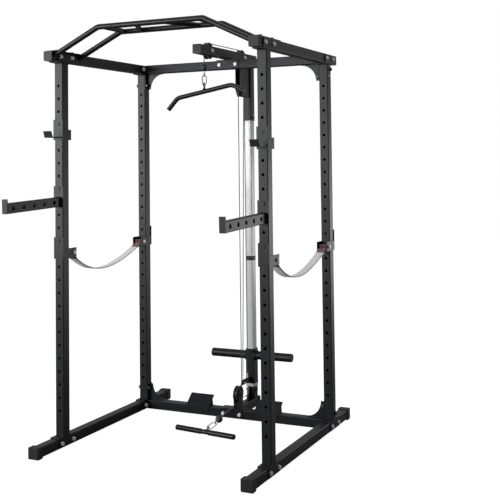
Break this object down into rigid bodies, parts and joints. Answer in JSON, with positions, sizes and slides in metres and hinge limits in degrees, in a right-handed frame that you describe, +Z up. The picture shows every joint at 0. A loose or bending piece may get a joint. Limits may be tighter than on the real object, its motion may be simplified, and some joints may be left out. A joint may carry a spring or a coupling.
{
  "type": "power cage",
  "caption": "Free-standing power cage with hooks, spotter arms, strap safeties, pull-up bar and a plate-loaded high and low cable tower.",
  "frame": {"origin": "on the floor under the middle of the whole outline", "axes": "+Z up, the open front with hooks and spotter arms faces -Y, the cable tower stands at +Y, X runs across the cage"},
  "size_m": [1.2386, 1.4772, 2.127],
  "materials": {
    "frame_steel": "black satin powder coat",
    "bar_steel": "black powder coat, smooth",
    "zinc": "zinc plated",
    "post_chrome": "polished chrome plating",
    "cap_plastic": "black moulded plastic",
    "pulley_nylon": "black nylon",
    "bush_nylon": "black nylon",
    "bumper_rubber": "light grey rubber",
    "ball_rubber": "black rubber",
    "cable_coat": "black nylon coating",
    "webbing": "woven webbing, light warm grey"
  },
  "bodies": {
    "frame": {"base_rail_left": "frame_steel", "base_rail_right": "frame_steel", "top_rail_left": "frame_steel", "top_rail_right": "frame_steel", "upright_front_left": "frame_steel", "upright_front_right": "frame_steel", "upright_rear_left": "frame_steel", "upright_rear_right": "frame_steel", "foot_plate_left": "frame_steel", "foot_plate_right": "frame_steel", "strap_bracket_front_left": "frame_steel", "strap_bracket_front_right": "frame_steel", "strap_bracket_rear_left": "frame_steel", "strap_bracket_rear_right": "frame_steel", "safety_strap_left": "webbing", "safety_strap_right": "webbing", "base_feet": "cap_plastic", "tube_end_caps": "cap_plastic", "rear_crossmember_top": "frame_steel", "rear_crossmember_bottom": "frame_steel", "pull_up_bar": "bar_steel", "frame_bolts": "zinc", "frame_nuts": "zinc", "strap_pins": "zinc", "lat_upper_frame": "frame_steel", "lat_base_frame": "frame_steel", "guide_post_lower": "post_chrome", "guide_post_upper": "post_chrome", "guide_post_joiner": "cap_plastic", "carriage_bumper": "bumper_rubber", "pulley_axles": "zinc", "pulley_nuts": "zinc", "pulley_bearings": "zinc", "lat_cable_run": "cable_coat", "lat_cable_drop": "cable_coat", "lat_cable_lift": "cable_coat", "row_cable_lift": "cable_coat", "row_cable_run": "cable_coat", "row_cable_front": "cable_coat"},
    "pulley_front": {"pulley_front": "pulley_nylon"},
    "pulley_rear": {"pulley_rear": "pulley_nylon"},
    "pulley_row_upper": {"pulley_row_upper": "pulley_nylon"},
    "pulley_row_low": {"pulley_row_low": "pulley_nylon"},
    "carriage": {"weight_carriage": "frame_steel", "carriage_bushes": "bush_nylon", "horn_caps": "cap_plastic", "carriage_snap_hook": "zinc"},
    "carriage_gate": {"carriage_snap_gate": "zinc"},
    "lat_bar": {"lat_cable_end": "ball_rubber", "lat_snap_hook": "zinc", "lat_bar": "bar_steel"},
    "lat_gate": {"lat_snap_gate": "zinc"},
    "row_bar": {"row_cable_end": "ball_rubber", "row_snap_hook": "zinc", "row_bar": "bar_steel"},
    "row_gate": {"row_snap_gate": "zinc"},
    "j_hook_left": {"j_hook_left": "frame_steel"},
    "j_hook_right": {"j_hook_right": "frame_steel"},
    "spotter_arm_left": {"spotter_arm_left": "frame_steel"},
    "spotter_arm_right": {"spotter_arm_right": "frame_steel"}
  },
  "joints": [
    {"name": "lat_bar_pull", "type": "slide", "parent": "frame", "child": "lat_bar", "axis": [0, 0, -1], "range_m": [0, 1.2], "deforming": ["lat_cable_drop"]},
    {"name": "carriage_lift", "type": "slide", "parent": "frame", "child": "carriage", "axis": [0, 0, 1], "range_m": [0, 1.2], "deforming": ["lat_cable_lift", "row_cable_lift"]},
    {"name": "row_bar_pull", "type": "slide", "parent": "frame", "child": "row_bar", "axis": [0, -1, 0], "range_m": [0, 1.2]},
    {"name": "pulley_front_turn", "type": "hinge", "parent": "frame", "child": "pulley_front", "pos_m": [0, 0.19207, 2.036], "axis": [1, 0, 0], "range_deg": [0, 1638]},
    {"name": "pulley_rear_turn", "type": "hinge", "parent": "frame", "child": "pulley_rear", "pos_m": [0, 0.58007, 2.036], "axis": [1, 0, 0], "range_deg": [0, 1638]},
    {"name": "pulley_row_upper_turn", "type": "hinge", "parent": "frame", "child": "pulley_row_upper", "pos_m": [0, 0.58007, 1.85], "axis": [1, 0, 0], "range_deg": [0, 2023.2]},
    {"name": "pulley_row_low_turn", "type": "hinge", "parent": "frame", "child": "pulley_row_low", "pos_m": [0, 0.50406, 0.12], "axis": [1, 0, 0], "range_deg": [-1638, 0]},
    {"name": "carriage_gate_open", "type": "hinge", "parent": "carriage", "child": "carriage_gate", "pos_m": [-0.0235, 0.57407, 0.1156], "axis": [0, 1, 0], "range_deg": [0, 24], "stiffness_Nm_per_rad": 0.02, "springref_deg": -17.19},
    {"name": "lat_gate_open", "type": "hinge", "parent": "lat_bar", "child": "lat_gate", "pos_m": [-0.0125, 0.15007, 1.8677], "axis": [0, 1, 0], "range_deg": [0, 28], "stiffness_Nm_per_rad": 0.02, "springref_deg": -17.19},
    {"name": "row_gate_open", "type": "hinge", "parent": "row_bar", "child": "row_gate", "pos_m": [-0.0175, 0.18085, 0.02429], "axis": [0, 0.1622, -0.9868], "range_deg": [0, 24], "stiffness_Nm_per_rad": 0.02, "springref_deg": -17.19},
    {"name": "j_hook_left_pull", "type": "slide", "parent": "frame", "child": "j_hook_left", "axis": [0, -1, 0], "range_m": [0, 0.08]},
    {"name": "j_hook_right_pull", "type": "slide", "parent": "frame", "child": "j_hook_right", "axis": [0, -1, 0], "range_m": [0, 0.08]},
    {"name": "spotter_arm_left_pull", "type": "slide", "parent": "frame", "child": "spotter_arm_left", "axis": [0, -1, 0], "range_m": [0, 0.08]},
    {"name": "spotter_arm_right_pull", "type": "slide", "parent": "frame", "child": "spotter_arm_right", "axis": [0, -1, 0], "range_m": [0, 0.08]}
  ],
  "couplings": [
    {"joint": "carriage_lift", "follows": "lat_bar_pull", "ratio": 1},
    {"joint": "pulley_front_turn", "follows": "lat_bar_pull", "rad_per_m": 23.809},
    {"joint": "pulley_rear_turn", "follows": "lat_bar_pull", "rad_per_m": 23.809},
    {"joint": "pulley_row_upper_turn", "follows": "row_bar_pull", "rad_per_m": 29.412},
    {"joint": "pulley_row_low_turn", "follows": "row_bar_pull", "rad_per_m": -23.809}
  ]
}
